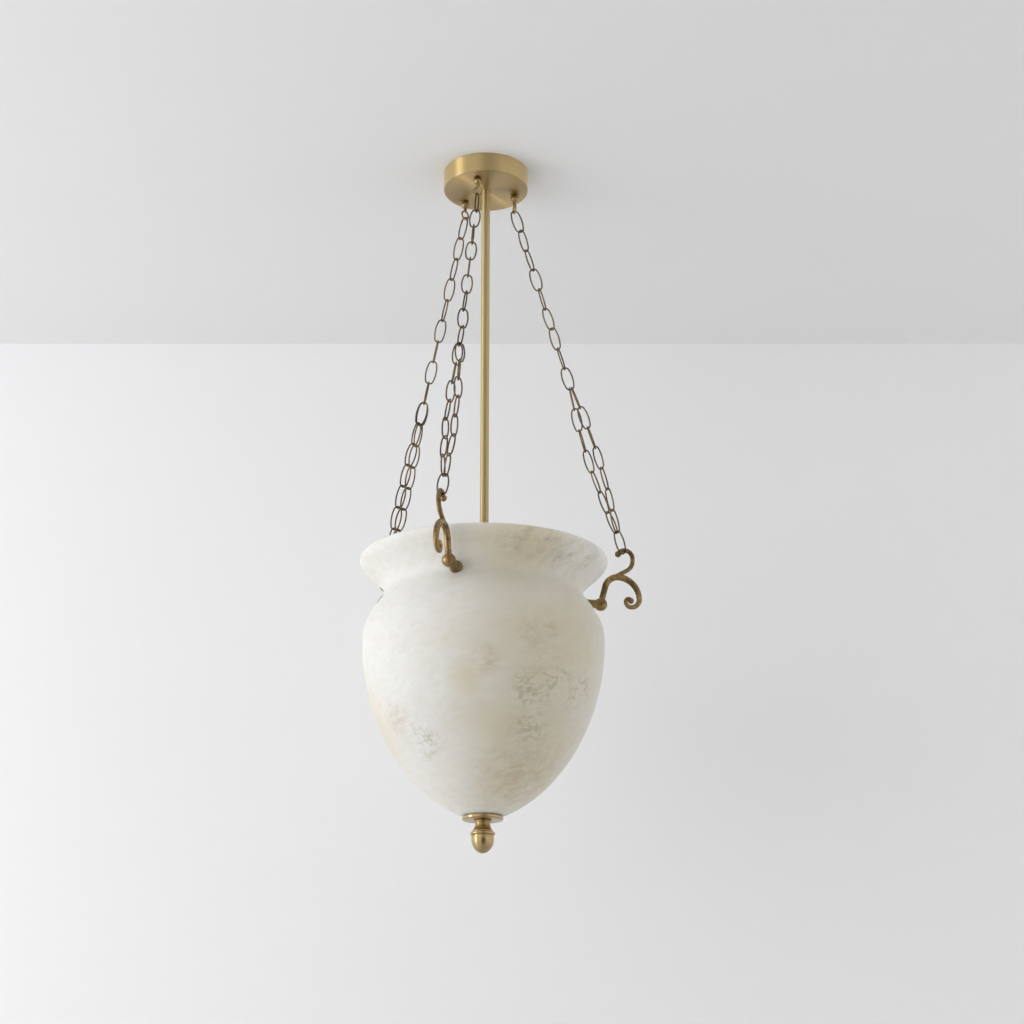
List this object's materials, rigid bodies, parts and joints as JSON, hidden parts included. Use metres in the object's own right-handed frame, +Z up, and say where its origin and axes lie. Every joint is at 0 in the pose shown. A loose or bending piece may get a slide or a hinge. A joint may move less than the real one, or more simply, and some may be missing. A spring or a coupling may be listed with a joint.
{
  "type": "pendant light",
  "caption": "Alabaster urn pendant light hung by brass chains and scroll hooks from a round ceiling canopy, around a fixed lamp stem, with an acorn finial below.",
  "frame": {"origin": "on the ceiling, at the centre of the canopy's open rim, midway between the crossbar's screw holes", "axes": "+Z points up into the ceiling and the light hangs along -Z; the first chain is on the +X side"},
  "size_m": [0.4101, 0.4078, 1.0301],
  "materials": {
    "brushed_brass": "satin brushed",
    "aged_brass": "aged, darkened",
    "finial_brass": "satin turned",
    "fitting_brass": "plain turned",
    "alabaster": "honed, cloudy veins",
    "zinc_steel": "zinc plated",
    "soft_rubber": "matt",
    "holder_plastic": "matt",
    "cap_metal": "rolled thread",
    "opal_glass": "opal white"
  },
  "bodies": {
    "fixture": {"canopy": "brushed_brass", "stem": "brushed_brass", "chain_eye_1": "brushed_brass", "chain_eye_2": "brushed_brass", "chain_eye_3": "brushed_brass", "lamp_hub": "fitting_brass", "holder_tubes": "fitting_brass", "stem_nipple": "fitting_brass", "nipple_nuts": "fitting_brass", "lamp_holder_1": "holder_plastic", "lamp_holder_2": "holder_plastic", "lamp_holder_3": "holder_plastic", "lamp_cap_1": "cap_metal", "lamp_cap_2": "cap_metal", "lamp_cap_3": "cap_metal", "lamp_globe_1": "opal_glass", "lamp_globe_2": "opal_glass", "lamp_globe_3": "opal_glass", "crossbar": "zinc_steel", "eye_washers": "zinc_steel", "eye_nuts": "zinc_steel"},
    "top_link_1": {"chain_1_top_link": "aged_brass"},
    "top_link_2": {"chain_2_top_link": "aged_brass"},
    "top_link_3": {"chain_3_top_link": "aged_brass"},
    "chain_1": {"chain_1_single_links": "aged_brass", "chain_1_strand_a": "aged_brass", "chain_1_strand_b": "aged_brass"},
    "chain_2": {"chain_2_single_links": "aged_brass", "chain_2_strand_a": "aged_brass", "chain_2_strand_b": "aged_brass", "chain_2_hook_link": "aged_brass"},
    "chain_3": {"chain_3_single_links": "aged_brass", "chain_3_strand_a": "aged_brass", "chain_3_strand_b": "aged_brass", "chain_3_hook_link": "aged_brass"},
    "hook_link_1": {"chain_1_hook_link": "aged_brass"},
    "urn": {"urn": "alabaster", "scroll_hook_1": "aged_brass", "scroll_hook_2": "aged_brass", "scroll_hook_3": "aged_brass", "hook_washers": "zinc_steel", "hook_nuts": "zinc_steel", "soft_washer": "soft_rubber", "finial_disc": "finial_brass", "finial_knob": "finial_brass", "finial_rod": "zinc_steel", "floor_washer": "zinc_steel", "finial_nut": "zinc_steel"}
  },
  "joints": [
    {"name": "chain_1_side_sway", "type": "hinge", "parent": "fixture", "child": "top_link_1", "pos_m": [0.045, 0, -0.0606], "axis": [1, 0, 0], "range_deg": [-3.83, 3.83]},
    {"name": "chain_2_side_sway", "type": "hinge", "parent": "fixture", "child": "top_link_2", "pos_m": [-0.0225, 0.03897, -0.0606], "axis": [1, 0, 0], "range_deg": [-3.83, 3.83]},
    {"name": "chain_3_side_sway", "type": "hinge", "parent": "fixture", "child": "top_link_3", "pos_m": [-0.0225, -0.03897, -0.0606], "axis": [1, 0, 0], "range_deg": [-3.83, 3.83]},
    {"name": "chain_1_sway", "type": "hinge", "parent": "top_link_1", "child": "chain_1", "pos_m": [0.05418, 0, -0.09029], "axis": [0, 1, 0], "range_deg": [-4.05, 4.05]},
    {"name": "chain_2_sway", "type": "hinge", "parent": "top_link_2", "child": "chain_2", "pos_m": [-0.02709, 0.04692, -0.09029], "axis": [0, 1, 0], "range_deg": [-4.05, 4.05]},
    {"name": "chain_3_sway", "type": "hinge", "parent": "top_link_3", "child": "chain_3", "pos_m": [-0.02709, -0.04692, -0.09029], "axis": [0, 1, 0], "range_deg": [-4.05, 4.05]},
    {"name": "hook_link_side_sway", "type": "hinge", "parent": "chain_1", "child": "hook_link_1", "pos_m": [0.19881, 0, -0.55813], "axis": [1, 0, 0], "range_deg": [-0.85, 0.85]},
    {"name": "urn_sway", "type": "hinge", "parent": "hook_link_1", "child": "urn", "pos_m": [0.20844, 0, -0.5893], "axis": [0, 1, 0], "range_deg": [-1.07, 1.07]}
  ],
  "couplings": [
    {"joint": "chain_2_side_sway", "follows": "chain_1_side_sway", "ratio": 1},
    {"joint": "chain_3_side_sway", "follows": "chain_1_side_sway", "ratio": 1},
    {"joint": "hook_link_side_sway", "follows": "chain_1_side_sway", "ratio": -0.21589},
    {"joint": "chain_2_sway", "follows": "chain_1_sway", "ratio": 1},
    {"joint": "chain_3_sway", "follows": "chain_1_sway", "ratio": 1},
    {"joint": "urn_sway", "follows": "chain_1_sway", "ratio": -0.25992}
  ]
}
